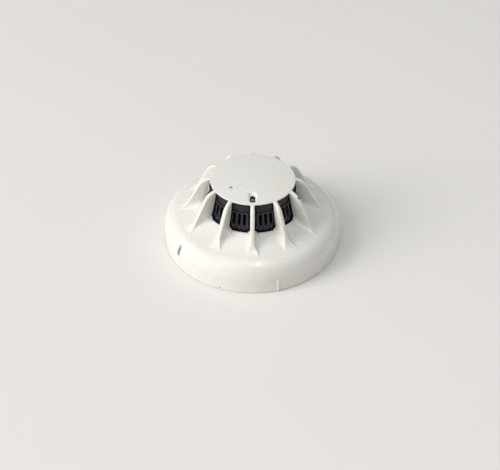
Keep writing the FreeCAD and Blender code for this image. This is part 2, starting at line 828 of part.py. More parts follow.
def make_insect_screen():
    """A fine mesh hoop inside the slats, open where the lamp channel passes."""
    inner = S.screen_radius - S.screen_thickness
    plate_foot = S.lid_top - S.lid_plate
    body = turned_body("insect_screen", [
        (inner, S.screen_foot),
        (S.screen_radius, S.screen_foot),
        (S.screen_radius, plate_foot),
        (inner, plate_foot),
    ])
    sketch = add_sketch(body, "XY_Plane", turn=-90)
    half = S.channel_width / 2 + S.channel_wall + S.screen_thickness
    draw_box(sketch, S.channel_inner_radius, S.screen_radius + CLEAR, -half, half)
    pocket(body, sketch, S.lid_top)
    return finish(body, "insect_screen")


def make_optic(label, azimuth):
    """A round-nosed optical device lying in its holder, and its two bent leads."""
    azimuth = as_size(azimuth)
    flange_end = S.holder_outer + S.optic_flange
    nose = S.optic_tip + S.optic_radius
    body = add_body(label)
    # drawn upright, nose down, then laid along the radius
    revolve(body, draw_outline(add_sketch(body, "XZ_Plane"), [
        (0, S.optic_tip, S.optic_radius),
        (S.optic_radius, nose),
        (S.optic_radius, S.holder_outer),
        (S.optic_flange_radius, S.holder_outer),
        (S.optic_flange_radius, flange_end),
        (0, flange_end),
    ]))
    lay = Rotation(Vector(0, 0, 1), azimuth.value - 90) * Rotation(Vector(0, 1, 0), 90)
    body.Placement = Placement(Vector(0, 0, S.optic_height.value), lay)
    bind(body, ".Placement.Base.z", S.optic_height)
    finish(body, label)

    leads = []
    for number, side in enumerate((-1, 1)):
        lead = add_body(f"{label}_lead_{number}")
        half = S.lead_size / 2
        bend = draw_outline(add_sketch(lead, "XZ_Plane"), [
            (flange_end, S.optic_height - half),
            (S.lead_drop - half, S.optic_height - half),
            (S.lead_drop - half, BOARD_TOP),
            (S.lead_drop + half, BOARD_TOP),
            (S.lead_drop + half, S.optic_height + half),
            (flange_end, S.optic_height + half),
        ])
        pad(lead, bend, S.lead_size, both_ways=True)
        turn = azimuth - 90
        offset = S.lead_pitch / 2 * side
        x, y = -(offset * turn.sin()), offset * turn.cos()
        lead.Placement = Placement(Vector(x.value, y.value, 0), Rotation(Vector(0, 0, 1), turn.value))
        bind(lead, ".Placement.Base.x", x)
        bind(lead, ".Placement.Base.y", y)
        leads.append(lead)
    group(f"{label}_leads", leads)


def make_alarm_lamp():
    shoulder = S.lamp_top - S.lamp_body_radius
    flange_top = S.lamp_foot + S.lamp_flange_height
    lamp = turned_body("alarm_lamp", [
        (0, S.lamp_foot),
        (S.lamp_flange_radius, S.lamp_foot),
        (S.lamp_flange_radius, flange_top),
        (S.lamp_body_radius, flange_top),
        (S.lamp_body_radius, shoulder, S.lamp_body_radius),
        (0, S.lamp_top),
    ])
    finish(polar_place(lamp, S.lamp_radius, 0, 0), "alarm_lamp")

    post = turned_body("lamp_post", [
        (0, BOARD_TOP),
        (S.lamp_post_radius, BOARD_TOP),
        (S.lamp_post_radius, S.lamp_foot),
        (0, S.lamp_foot),
    ])
    sketch = add_sketch(post, "XY_Plane")
    half = S.lead_size / 2
    for side in (-1, 1):
        middle = S.lead_pitch / 2 * side
        draw_box(sketch, -half, half, middle - half, middle + half)
    pocket(post, sketch, S.lamp_top)
    finish(polar_place(post, S.lamp_radius, 0, 0), "lamp_post")

    leads = []
    for number, side in enumerate((-1, 1)):
        lead = add_body(f"lamp_lead_{number}")
        middle = S.lead_pitch / 2 * side
        sketch = add_sketch(lead, "XY_Plane", rise=BOARD_TOP)
        draw_box(sketch, -half, half, middle - half, middle + half)
        pad(lead, sketch, S.lamp_foot - BOARD_TOP)
        leads.append(polar_place(lead, S.lamp_radius, 0, 0))
    group("alarm_lamp_leads", leads)


def make_thermistor():
    """A glass bead held up in the air stream on two thin wires."""
    bead = doc.addObject("Part::Sphere", "thermistor_bead")
    bead.Radius = S.bead_radius.value
    bind(bead, "Radius", S.bead_radius)
    finish(polar_place(bead, S.bead_circle, S.bead_azimuth, S.bead_height), "thermistor_bead")

    wire_top = S.bead_height - S.bead_radius
    wires = []
    for number, side in enumerate((-1, 1)):
        wire = add_body(f"thermistor_wire_{number}")
        sketch = add_sketch(wire, "XY_Plane", rise=BOARD_TOP)
        draw_circle(sketch, 0, S.bead_lead_pitch / 2 * side, S.bead_lead_radius)
        pad(wire, sketch, wire_top - BOARD_TOP)
        wires.append(polar_place(wire, S.bead_circle, S.bead_azimuth, 0))
    collar_foot = wire_top - S.bead_collar_height
    collar_radius = S.bead_lead_pitch / 2 + S.bead_collar_wall
    collar = turned_body("thermistor_collar", [
        (0, collar_foot),
        (collar_radius, collar_foot),
        (collar_radius, wire_top),
        (0, wire_top),
    ])
    polar_place(collar, S.bead_circle, S.bead_azimuth, 0)
    wiring = doc.addObject("Part::MultiFuse", "thermistor_leads")
    wiring.Shapes = wires + [collar]
    return finish(wiring, "thermistor_leads")


def make_label():
    body = turned_body("rating_label", [
        (0, S.plate_foot - S.label_thickness),
        (S.label_radius, S.plate_foot - S.label_thickness),
        (S.label_radius, S.plate_foot),
        (0, S.plate_foot),
    ])
    return finish(body, "rating_label")


make_cover()
make_rear_body()
for blade_number in range(DIMENSIONS["blade_count"]):
    make_contact_blade(blade_number + 1)
group("contact_rivets", [make_rivet(number) for number in range(DIMENSIONS["blade_count"])])
make_label()
make_board()
group("board_screws", [make_screw(number) for number in range(DIMENSIONS["screw_count"])])
make_components()
make_chamber_base()
make_chamber_lid()
make_insect_screen()
make_optic("ir_emitter", S.emitter_azimuth)
make_optic("photodiode", S.receiver_azimuth)
make_alarm_lamp()
make_thermistor()

doc.recompute()
for thing in doc.Objects:
    if "Invalid" in thing.State or "Error" in thing.State:
        raise RuntimeError(f"{thing.Label} did not build: {thing.State}")
for part in parts:
    if part.Shape.isNull() or not part.Shape.isValid():
        raise RuntimeError(f"{part.Label} has no valid shape")

os.makedirs("parts", exist_ok=True)
for part in parts:
    part.Shape.exportStep(f"parts/{part.Label}.step")
    print(f"{part.Label}: {len(part.Shape.Solids)} solids, {part.Shape.Volume:.1f} mm3")
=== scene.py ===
import json
import math

import bmesh
import bpy
import numpy as np
from mathutils import Matrix, Vector


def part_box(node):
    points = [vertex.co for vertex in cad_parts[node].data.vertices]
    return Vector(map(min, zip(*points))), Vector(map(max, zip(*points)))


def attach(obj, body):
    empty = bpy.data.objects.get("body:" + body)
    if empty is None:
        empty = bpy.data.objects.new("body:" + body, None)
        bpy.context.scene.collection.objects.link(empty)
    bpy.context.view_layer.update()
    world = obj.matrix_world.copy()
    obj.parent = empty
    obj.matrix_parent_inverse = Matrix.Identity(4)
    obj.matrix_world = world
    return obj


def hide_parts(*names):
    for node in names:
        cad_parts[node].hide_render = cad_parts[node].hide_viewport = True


# A plug-in point fire detector head, standing on its rear rim. Lengths below are in millimetres unless a
# name ends in _M; meshes are made in metres. Azimuths run from -Y, where the alarm lamp is, towards +X.

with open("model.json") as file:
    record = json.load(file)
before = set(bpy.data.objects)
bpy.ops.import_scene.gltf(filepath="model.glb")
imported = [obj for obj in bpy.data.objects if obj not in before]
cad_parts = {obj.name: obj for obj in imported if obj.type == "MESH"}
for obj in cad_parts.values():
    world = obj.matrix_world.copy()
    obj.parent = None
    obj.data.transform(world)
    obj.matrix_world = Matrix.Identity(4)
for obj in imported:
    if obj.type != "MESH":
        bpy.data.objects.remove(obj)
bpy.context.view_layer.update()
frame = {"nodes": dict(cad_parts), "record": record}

MM = 0.001
_, cover_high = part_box("outer_cover")
SKIRT_R = cover_high.x / MM
CAP_TOP = cover_high.z / MM

# cover profile
WALL = 2.0
SKIRT_TOP = 9.0
SHOULDER_ROUND = 10.6
SHOULDER_TURN = math.radians(12)
DISH_ROUND = 100.0
SILL_R, SILL_Z = 29.1, 24.6
SILL_EDGE = 0.6
SILL_FOOT_Z = 22.7
CAGE_TOP_R, CAGE_TOP_Z = 25.1, 41.1
CAP_R, CAP_RIM_Z = 25.5, 42.1
CAP_UNDER_Z = 40.8
CAP_EDGE = 0.4
RIM_EDGE = 0.5

# fins
FINS = 12
HALF_SECTOR = math.pi / FINS
FIN_HALF = 1.27
FIN_EDGE, FIN_CAP_EDGE = 1.15, 0.45
CROWN_R, CROWN_Z, CROWN_ROUND = 25.0, 42.0, 8.2
FLANK_TOP_R, FLANK_TOP_Z = 32.3, 37.55
FLANK_SLOPE = -1.865
FOOT_ROUND = 10.0
FOOT_FLARE = 3.4
SILL_FLARE = 1.6
TOP_FLARE = 0.6
INNER_TAPER = 0.25

# lamp recess in the cap
LAMP_R = 19.6
RECESS_R = 19.3


# ---------------------------------------------------------------- curves of the cover

def smooth_step(low, high, x):
    """A smooth rise from 0 at low to 1 at high."""
    t = min(max((x - low) / (high - low), 0.0), 1.0)
    return t * t * (3 - 2 * t)


def circle_centre(first, second, radius):
    """The centre, above the chord, of the circle of that radius through two points."""
    first, second = np.array(first), np.array(second)
    chord = second - first
    half = np.linalg.norm(chord) / 2
    normal = np.array([-chord[1], chord[0]]) / (2 * half)
    if normal[1] < 0:
        normal = -normal
    return (first + second) / 2 + normal * math.sqrt(radius * radius - half * half)


SHOULDER_C = (SKIRT_R - SHOULDER_ROUND, SKIRT_TOP)
SHOULDER_END = (SHOULDER_C[0] + SHOULDER_ROUND * math.sin(SHOULDER_TURN),
                SHOULDER_C[1] + SHOULDER_ROUND * math.cos(SHOULDER_TURN))
DISH_C = circle_centre(SHOULDER_END, (SILL_R, SILL_Z), DISH_ROUND)
SILL_OUT_R = SILL_R + SILL_EDGE


def outer_height(radius):
    """The height of the cover's outer face, fins left out, between the sill and the shoulder."""
    if radius >= SHOULDER_END[0]:
        return SHOULDER_C[1] + math.sqrt(max(SHOULDER_ROUND ** 2 - (radius - SHOULDER_C[0]) ** 2, 0.0))
    if radius >= SILL_R:
        return DISH_C[1] - math.sqrt(DISH_ROUND ** 2 - (radius - DISH_C[0]) ** 2)
    return SILL_Z


SILL_EDGE_Z = outer_height(SILL_OUT_R) - SILL_EDGE


def flank_height(radius):
    """The height of a fin's straight flank."""
    return FLANK_TOP_Z + FLANK_SLOPE * (radius - FLANK_TOP_R)


def foot_circle():
    """The centre of the foot's arc, which touches the flank and, from inside, the dish's own arc."""
    along = np.array([1.0, FLANK_SLOPE]) / math.hypot(1.0, FLANK_SLOPE)
    across = np.array([-along[1], along[0]])
    start = np.array([FLANK_TOP_R, FLANK_TOP_Z]) + across * FOOT_ROUND
    to_start = start - DISH_C
    half = float(to_start @ along)
    reach = -half + math.sqrt(half * half - to_start @ to_start + (DISH_ROUND - FOOT_ROUND) ** 2)
    centre = start + along * reach
    toe = DISH_C + (centre - DISH_C) * DISH_ROUND / (DISH_ROUND - FOOT_ROUND)
    return centre, (centre - across * FOOT_ROUND)[0], toe[0]


FOOT_C, FOOT_R, TOE_R = foot_circle()


def ridge_height(radius):
    """The height of a fin's ridge: a round crown, a straight flank and a hollow foot landing on the dish."""
    if radius <= CROWN_R:
        return CROWN_Z
    if radius <= FLANK_TOP_R:
        return CROWN_Z - CROWN_ROUND + math.sqrt(CROWN_ROUND ** 2 - (radius - CROWN_R) ** 2)
    if radius <= FOOT_R:
        return flank_height(radius)
    return FOOT_C[1] - math.sqrt(FOOT_ROUND ** 2 - (radius - FOOT_C[0]) ** 2)


def flare(size, height):
    """How far a fillet of that size stands out of the wall at a height above its foot."""
    if height >= size:
        return 0.0
    height = max(height, 0.0)
    return size - math.sqrt(max(size * size - (size - height) ** 2, 0.0))


def foot_flare(radius):
    """The size of the fillet at a fin's foot, small on the sill and larger on the dish."""
    return SILL_FLARE + (FOOT_FLARE - SILL_FLARE) * smooth_step(SILL_R - 0.3, SILL_R + 3.0, radius)


def inner_radius(height):
    """Where the struts' inner edges lie at a height."""
    return SILL_R + (CAGE_TOP_R - SILL_R) * (height - SILL_EDGE_Z) / (CAGE_TOP_Z - SILL_EDGE_Z)


def fin_half(radius, height):
    """Half the fin's thickness, thinner at its inner edge, with fillets at its foot and its top."""
    foot = foot_flare(radius)
    top = TOP_FLARE * (1 - smooth_step(CAP_R - 0.3, CAP_R + 0.9, radius))
    half = FIN_HALF - INNER_TAPER * (1 - smooth_step(0.0, 2.5, radius - inner_radius(height)))
    half += flare(foot, height - outer_height(radius))
    if top > 0.01:
        half += flare(top, CAGE_TOP_Z - height)
    return half


# ---------------------------------------------------------------- mesh helpers

def polar(radius, azimuth, height):
    """A point in metres from millimetres round the Z axis."""
    return (radius * math.sin(azimuth) * MM, -radius * math.cos(azimuth) * MM, height * MM)


def link_mesh(name, verts, faces, sharp_deg=35.0, weld=2e-6, smooth=True):
    """A mesh object from lists of points and faces, welded, with faces turned outwards."""
    mesh = bpy.data.meshes.new(name)
    mesh.from_pydata([tuple(v) for v in verts], [], faces)
    obj = bpy.data.objects.new(name, mesh)
    bpy.context.scene.collection.objects.link(obj)
    tidy_mesh(obj, sharp_deg, weld, smooth)
    return obj


def tidy_mesh(obj, sharp_deg=35.0, weld=2e-6, smooth=True):
    """Weld a mesh, turn its faces outwards and mark its sharp edges."""
    bm = bmesh.new()
    bm.from_mesh(obj.data)
    bmesh.ops.remove_doubles(bm, verts=bm.verts, dist=weld)
    bmesh.ops.dissolve_degenerate(bm, edges=bm.edges, dist=weld)
    bmesh.ops.recalc_face_normals(bm, faces=bm.faces)
    limit = math.radians(sharp_deg)
    for edge in bm.edges:
        edge.smooth = edge.is_manifold and edge.calc_face_angle(0.0) < limit
    for face in bm.faces:
        face.smooth = smooth
    bm.to_mesh(obj.data)
    bm.free()


def grid_faces(rows, columns, offset=0, wrap=False):
    """Quads over a grid of points stored row by row; wrap joins the last column to the first."""
    faces = []
    for i in range(rows - 1):
        for j in range(columns if wrap else columns - 1):
            k = (j + 1) % columns
            faces.append((offset + i * columns + j, offset + i * columns + k,
                          offset + (i + 1) * columns + k, offset + (i + 1) * columns + j))
    return faces


def add_grid(verts, faces, grid, wrap=False):
    """Add the points of a grid and the quads over them to a mesh in the making."""
    offset = len(verts)
    for row in grid:
        verts.extend(row)
    faces.extend(grid_faces(len(grid), len(grid[0]), offset, wrap))


def join(name, objects):
    """Make one object, of that name, out of several."""
    bpy.ops.object.select_all(action="DESELECT")
    for obj in objects:
        obj.select_set(True)
    bpy.context.view_layer.objects.active = objects[0]
    bpy.ops.object.join()
    objects[0].name = name
    return objects[0]


def apply_modifiers(obj):
    """Make an object's modifiers part of its mesh."""
    bpy.context.view_layer.objects.active = obj
    for modifier in list(obj.modifiers):
        bpy.ops.object.modifier_apply(modifier=modifier.name)


# ---------------------------------------------------------------- outer cover

TOP_COLUMNS = 4
EDGE_COLUMNS = 7
SIDE_COLUMNS = 14
DISH_COLUMNS = 10


def fin_stations():
    """Pairs of points in a fin's own plane: (base radius, base height, ridge radius, ridge height)."""
    stations = []
    # from the toe to the sill, base and ridge at one radius
    for step in range(25):
        t = step / 24
        radius = TOE_R + (SILL_OUT_R - TOE_R) * t ** 1.25
        base_z = outer_height(radius)
        stations.append((radius, base_z, radius, max(ridge_height(radius), base_z)))
    # over the rounded edge of the sill
    for step in range(1, 5):
        turn = math.pi / 2 * step / 4
        radius = SILL_OUT_R - SILL_EDGE * math.sin(turn)
        height = SILL_EDGE_Z + SILL_EDGE * math.cos(turn)
        stations.append((radius, height, radius, ridge_height(radius)))
    # up the inner edge of the strut, while the ridge runs in to the cap
    for step in range(1, 23):
        t = step / 22
        up = 0.45 * t + 0.55 * t * t * (3 - 2 * t)
        base_r = SILL_R + (CAGE_TOP_R - SILL_R) * up
        base_z = SILL_EDGE_Z + (CAGE_TOP_Z - SILL_EDGE_Z) * up
        top_r = SILL_R + (CROWN_R - SILL_R) * (0.4 * up + 0.6 * t * (2 - t))
        stations.append((base_r, base_z, top_r, ridge_height(top_r)))
    return stations


def fin_row(station):
    """Points (radius, offset, height) from the middle of the ridge, over its edge and down the side."""
    base_r, base_z, top_r, top_z = station
    length = math.hypot(base_r - top_r, base_z - top_z)
    full = FIN_CAP_EDGE + (FIN_EDGE - FIN_CAP_EDGE) * smooth_step(CAP_R, CAP_R + 3.0, top_r)
    edge = min(full, 0.45 * length)
    down = ((base_r - top_r) / length, (base_z - top_z) / length) if length > 1e-9 else (0.0, -1.0)
    half = fin_half(top_r + down[0] * edge, top_z + down[1] * edge)
    row = []
    for step in range(TOP_COLUMNS):
        row.append((top_r, (half - edge) * step / TOP_COLUMNS, top_z))
    for step in range(EDGE_COLUMNS):
        turn = math.pi / 2 * step / EDGE_COLUMNS
        drop = edge * (1 - math.cos(turn))
        row.append((top_r + down[0] * drop, half - edge + edge * math.sin(turn), top_z + down[1] * drop))
    for step in range(SIDE_COLUMNS + 1):
        t = step / SIDE_COLUMNS
        t = 0.35 * t + 0.65 * (1 - (1 - t) ** 2.2)
        reach = edge + (length - edge) * t
        radius = top_r + down[0] * reach
        height = top_z + down[1] * reach
        row.append((radius, fin_half(radius, height), height))
    return row


def ring_profile():
    """The turned part of the shell, from the toe of the fins outwards, under the rim and back to the sill."""
    points = []
    for step in range(1, 4):
        radius = TOE_R + (SHOULDER_END[0] - TOE_R) * step / 3
        points.append((radius, outer_height(radius)))
    for step in range(1, 17):
        turn = SHOULDER_TURN + (math.pi / 2 - SHOULDER_TURN) * step / 16
        points.append((SHOULDER_C[0] + SHOULDER_ROUND * math.sin(turn),
                       SHOULDER_C[1] + SHOULDER_ROUND * math.cos(turn)))
    for height in (6.0, 3.0, RIM_EDGE + 0.2):
        points.append((SKIRT_R, height))
    for step in range(5):
        turn = math.pi / 2 * step / 4
        points.append((SKIRT_R - RIM_EDGE * (1 - math.cos(turn)), RIM_EDGE * (1 - math.sin(turn))))
    inner_r = SKIRT_R - WALL
    points += [(inner_r + 0.3, 0.0), (inner_r, 0.3), (inner_r, 4.0), (inner_r, SKIRT_TOP)]
    inner_round = SHOULDER_ROUND - WALL
    for step in range(1, 9):
        turn = math.pi / 2 - (math.pi / 2 - SHOULDER_TURN) * step / 8
        points.append((SHOULDER_C[0] + inner_round * math.sin(turn),
                       SHOULDER_C[1] + inner_round * math.cos(turn)))
    start_r, start_z = points[-1]
    for step in range(1, 6):
        t = step / 5
        sag = -0.37 * math.sin(math.pi * t)
        points.append((start_r + (SILL_R - start_r) * t, start_z + (SILL_FOOT_Z - start_z) * t + sag))
    points.append((SILL_R, SILL_EDGE_Z))
    return points


def sector_azimuths(split):
    """Azimuths of the columns across half a sector, closer together where the fin's foot ends."""
    inner = [split * step / TOP_COLUMNS for step in range(TOP_COLUMNS)]
    outer = []
    for step in range(DISH_COLUMNS + 1):
        t = step / DISH_COLUMNS
        outer.append(split + (HALF_SECTOR - split) * (0.6 * t + 0.4 * t * t))
    return inner + outer


def build_shell():
    """Skirt, shoulder, dish, fins and struts: half a sector, mirrored and turned twelve times."""
    stations = fin_stations()
    grids = [[fin_row(station) for station in stations]]

    # the dish between the fins, over the same stations as far as the inner edge of the sill
    dish = []
    for base_r, base_z, _, _ in stations:
        if base_r >= SILL_R:
            split = (FIN_HALF + foot_flare(base_r)) / base_r
            azimuths = sector_azimuths(split)[TOP_COLUMNS:]
            dish.append([(base_r, azimuth * base_r, base_z) for azimuth in azimuths])
    grids.append(dish)

    # the struts' inner faces
    inner_face = []
    for base_r, base_z, _, _ in stations[len(dish) - 1:]:
        half = fin_half(base_r, base_z)
        inner_face.append([(base_r, half * step / TOP_COLUMNS, base_z) for step in range(TOP_COLUMNS + 1)])
    grids.append(inner_face)

    # the turned bands, whose columns meet the fins' toes at one end and the sill at the other
    profile = ring_profile()
    toe_split = (FIN_HALF + foot_flare(TOE_R)) / TOE_R
    sill_split = (FIN_HALF + foot_flare(SILL_R)) / SILL_R
    band = [[(TOE_R, azimuth * TOE_R, outer_height(TOE_R)) for azimuth in sector_azimuths(toe_split)]]
    for index, (radius, height) in enumerate(profile):
        split = toe_split + (sill_split - toe_split) * (index + 1) / len(profile)
        band.append([(radius, azimuth * radius, height) for azimuth in sector_azimuths(split)])
    grids.append(band)

    verts, faces = [], []
    for sector in range(FINS):
        middle = 2 * math.pi * sector / FINS
        for side in (1, -1):
            for grid in grids:
                add_grid(verts, faces, [
                    [polar(radius, middle + side * offset / radius, height) for radius, offset, height in row]
                    for row in grid])
    shell = link_mesh("cover_shell", verts, faces, weld=1.5e-6)
    bm = bmesh.new()
    bm.from_mesh(shell.data)
    bmesh.ops.holes_fill(bm, edges=[edge for edge in bm.edges if edge.is_boundary], sides=0)
    bmesh.ops.recalc_face_normals(bm, faces=bm.faces)
    bm.to_mesh(shell.data)
    bm.free()
    return shell


def oval(centre_y, length, width, directions):
    """Where rays from the centre of a slot with round ends, lying along Y, leave it."""
    half = width / 2
    reach = length / 2 - half
    points = []
    for x, y in directions:
        out = half / abs(x) if abs(x) > 1e-9 else math.inf
        if abs(y) * out > reach:
            out = abs(y) * reach + math.sqrt(half * half - (reach * x) ** 2)
        points.append(np.array([x * out, centre_y + y * out]))
    return points


def dome_height(radius):
    """The height of the cap's domed top."""
    return CAP_TOP - (CAP_TOP - CAP_RIM_Z) * (radius / CAP_R) ** 2


def build_cap():
    """The domed cap, with its lip, and the funnel and hole of the alarm lamp."""
    steps = 160
    directions = [(math.cos(2 * math.pi * step / steps), math.sin(2 * math.pi * step / steps))
                  for step in range(steps)]
    # the lamp's recess, as (centre, length, width, drop below the cap's surface)
    rings = [
        (RECESS_R, 9.5, 5.3, 0.0),
        (RECESS_R, 9.2, 5.0, 0.04),
        (RECESS_R, 8.95, 4.7, 0.16),
        (RECESS_R + 0.1, 8.6, 4.3, 0.42),
        (RECESS_R + 0.3, 7.9, 3.75, 0.68),
        (RECESS_R + 0.45, 7.2, 3.35, 0.88),
        (RECESS_R + 0.52, 6.9, 3.15, 0.98),
        (RECESS_R + 0.55, 6.75, 3.05, 1.12),
        (RECESS_R + 0.55, 6.75, 3.05, 1.4),
    ]
    grid = []
    for centre, length, width, drop in reversed(rings):
        row = []
        for point in oval(-centre, length, width, directions):
            height = dome_height(float(np.linalg.norm(point))) - drop
            row.append((point[0] * MM, point[1] * MM, height * MM))
        grid.append(row)
    # the top, from the recess out to the rim
    centre = np.array([0.0, -rings[0][0]])
    flat_r = CAP_R - CAP_EDGE
    inner = oval(-rings[0][0], rings[0][1], rings[0][2], directions)
    outer = []
    for x, y in directions:
        along = float(centre @ (x, y))
        reach = -along + math.sqrt(along * along - centre @ centre + flat_r ** 2)
        outer.append(centre + np.array([x, y]) * reach)
    for step in range(1, 17):
        t = (step / 16) ** 1.3
        row = []
        for near, far in zip(inner, outer):
            point = near + (far - near) * t
            row.append((point[0] * MM, point[1] * MM, dome_height(float(np.linalg.norm(point))) * MM))
        grid.append(row)
    # over the rim's edge, down the lip, and in under the cap
    azimuths = [math.atan2(point[0], -point[1]) for point in outer]
    rim_z = dome_height(flat_r)
    under = [(flat_r + CAP_EDGE * math.sin(turn), rim_z - CAP_EDGE * (1 - math.cos(turn)))
             for turn in (math.pi / 2 * step / 5 for step in range(1, 6))]
    under += [(CAP_R - 0.1, 41.5), (CAP_R - 0.25, CAGE_TOP_Z), (CAP_R - 0.8, CAGE_TOP_Z - 0.1),
              (CAP_R - 1.1, CAP_UNDER_Z)]
    for radius, height in under:
        grid.append([polar(radius, azimuth, height) for azimuth in azimuths])
    # the flat underside, back to the hole
    hole = oval(-rings[-1][0], rings[-1][1], rings[-1][2], directions)
    last_r = under[-1][0]
    for step in range(1, 9):
        t = step / 8
        row = []
        for azimuth, point in zip(azimuths, hole):
            edge = polar(last_r, azimuth, CAP_UNDER_Z)
            row.append((edge[0] * (1 - t) + point[0] * MM * t, edge[1] * (1 - t) + point[1] * MM * t,
                        CAP_UNDER_Z * MM))
        grid.append(row)
    grid.append(grid[0])
    verts, faces = [], []
    add_grid(verts, faces, grid, wrap=True)
    return link_mesh("cover_cap", verts, faces, sharp_deg=50)


def rounded_block(name, size, bevel, segments=3):
    """A closed block centred on the origin with rounded edges, in millimetres."""
    bm = bmesh.new()
    bmesh.ops.create_cube(bm, size=1.0)
    bmesh.ops.scale(bm, vec=Vector(size), verts=bm.verts)
    bmesh.ops.bevel(bm, geom=list(bm.edges), offset=bevel, segments=segments, profile=0.5, affect="EDGES")
    bmesh.ops.scale(bm, vec=Vector((MM, MM, MM)), verts=bm.verts)
    mesh = bpy.data.meshes.new(name)
    bm.to_mesh(mesh)
    bm.free()
    obj = bpy.data.objects.new(name, mesh)
    bpy.context.scene.collection.objects.link(obj)
    return obj


def stand(obj, radius, azimuth_deg, height, tilt_deg=0.0):
    """Put a block at a radius and azimuth, its own -Y outwards, leaning out by the tilt; in place."""
    azimuth = math.radians(azimuth_deg)
    place = Matrix.Translation(polar(radius, azimuth, height))
    turn = Matrix.Rotation(azimuth, 4, "Z") @ Matrix.Rotation(math.radians(tilt_deg), 4, "X")
    obj.data.transform(place @ turn)
    return obj


# blocks of the cover, as (width, depth, height), and where they stand
LATCH_CUT, LATCH_AZIMUTH, LATCH_FOOT = (2.3, 6.0, 14.0), -53.0, 8.8
RIB, RIB_AZIMUTH = (1.15, 1.9, 8.6), 16.0
HOOKS, HOOK, HOOK_MIDDLE = 3, (6.0, 2.0, 10.6), 8.6
SEATS, SEAT, SEAT_R, SEAT_MIDDLE = 6, (1.5, 3.4, 6.0), 51.3, 10.05


def build_cover():
    """The whole cover moulding: shell, cap, skirt rib, and the hooks and seats inside the skirt."""
    shell = build_shell()
    cutter = stand(rounded_block("latch_cutter", LATCH_CUT, 0.5), 54.6, LATCH_AZIMUTH,
                   LATCH_FOOT + LATCH_CUT[2] / 2)
    cut = shell.modifiers.new("latch_slot", "BOOLEAN")
    cut.operation = "DIFFERENCE"
    cut.object = cutter
    cut.solver = "EXACT"
    apply_modifiers(shell)
    bpy.data.objects.remove(cutter)
    tidy_mesh(shell, 35, 1e-7)

    pieces = [shell, build_cap()]
    rib = stand(rounded_block("skirt_rib", RIB, 0.3), SKIRT_R - 0.25, RIB_AZIMUTH, RIB[2] / 2)
    pieces.append(rib)
    for number in range(HOOKS):
        hook = stand(rounded_block("hook", HOOK, 0.4), SKIRT_R - WALL - 0.95, 90 + 120 * number, HOOK_MIDDLE)
        pieces.append(hook)
    for number in range(SEATS):
        seat = stand(rounded_block("seat", SEAT, 0.3), SEAT_R, 60 + 60 * number, SEAT_MIDDLE)
        pieces.append(seat)
    for piece in pieces[2:]:
        tidy_mesh(piece, 50, 1e-7)
    cover = join("cover_moulding", pieces)
    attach(cover, "cover")
    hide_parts("outer_cover")
    return cover


# ---------------------------------------------------------------- chamber lid, insect screen and alarm lamp

LID_FOOT_R, LID_R, LID_INNER_R = 28.4, 25.9, 23.3
LID_FOOT, SLOT_FOOT, SLOT_TOP, FLANGE_TOP = 22.3, 27.7, 34.9, 36.0
FLANGE_R, CROWN_OUT_R, CROWN_IN_R = 26.1, 25.0, 22.5
LID_TOP, LID_PLATE = 39.8, 38.6
SLOTS, SLOT_WIDTH = 54, 1.75
CHANNEL_HALF, CHANNEL_WALL, CHANNEL_IN_R = 2.2, 0.8, 17.4


def turned(name, corners, steps=192, sharp_deg=35.0):
    """A body of revolution about the Z axis from corners (radius, height) going round its section."""
    verts, faces = [], []
    grid = [[polar(radius, 2 * math.pi * (step + 0.5) / steps, height) for step in range(steps)]
            for radius, height in corners]
    add_grid(verts, faces, grid, wrap=True)
    return link_mesh(name, verts, faces, sharp_deg=sharp_deg)


def box_between(name, low, high):
    """A box from its lowest to its highest corner, in millimetres."""
    size = [b - a for a, b in zip(low, high)]
    obj = rounded_block(name, size, 0.02, 1)
    obj.data.transform(Matrix.Translation([(a + b) / 2 * MM for a, b in zip(low, high)]))
    return obj


def boolean(target, other, operation):
    """Cut another object out of the target, or add it, and throw the other away."""
    cut = target.modifiers.new("cut", "BOOLEAN")
    cut.operation = operation
    cut.object = other
    cut.solver = "EXACT"
    apply_modifiers(target)
    bpy.data.objects.remove(other)


def soften(obj, width, segments=2, angle=40.0):
    """Round off every sharp edge of a piece."""
    tidy_mesh(obj, 35, 2e-6)
    bevel = obj.modifiers.new("soften", "BEVEL")
    bevel.width = width * MM
    bevel.segments = segments
    bevel.limit_method = "ANGLE"
    bevel.angle_limit = math.radians(angle)
    apply_modifiers(obj)
    tidy_mesh(obj, 50, 1e-7)


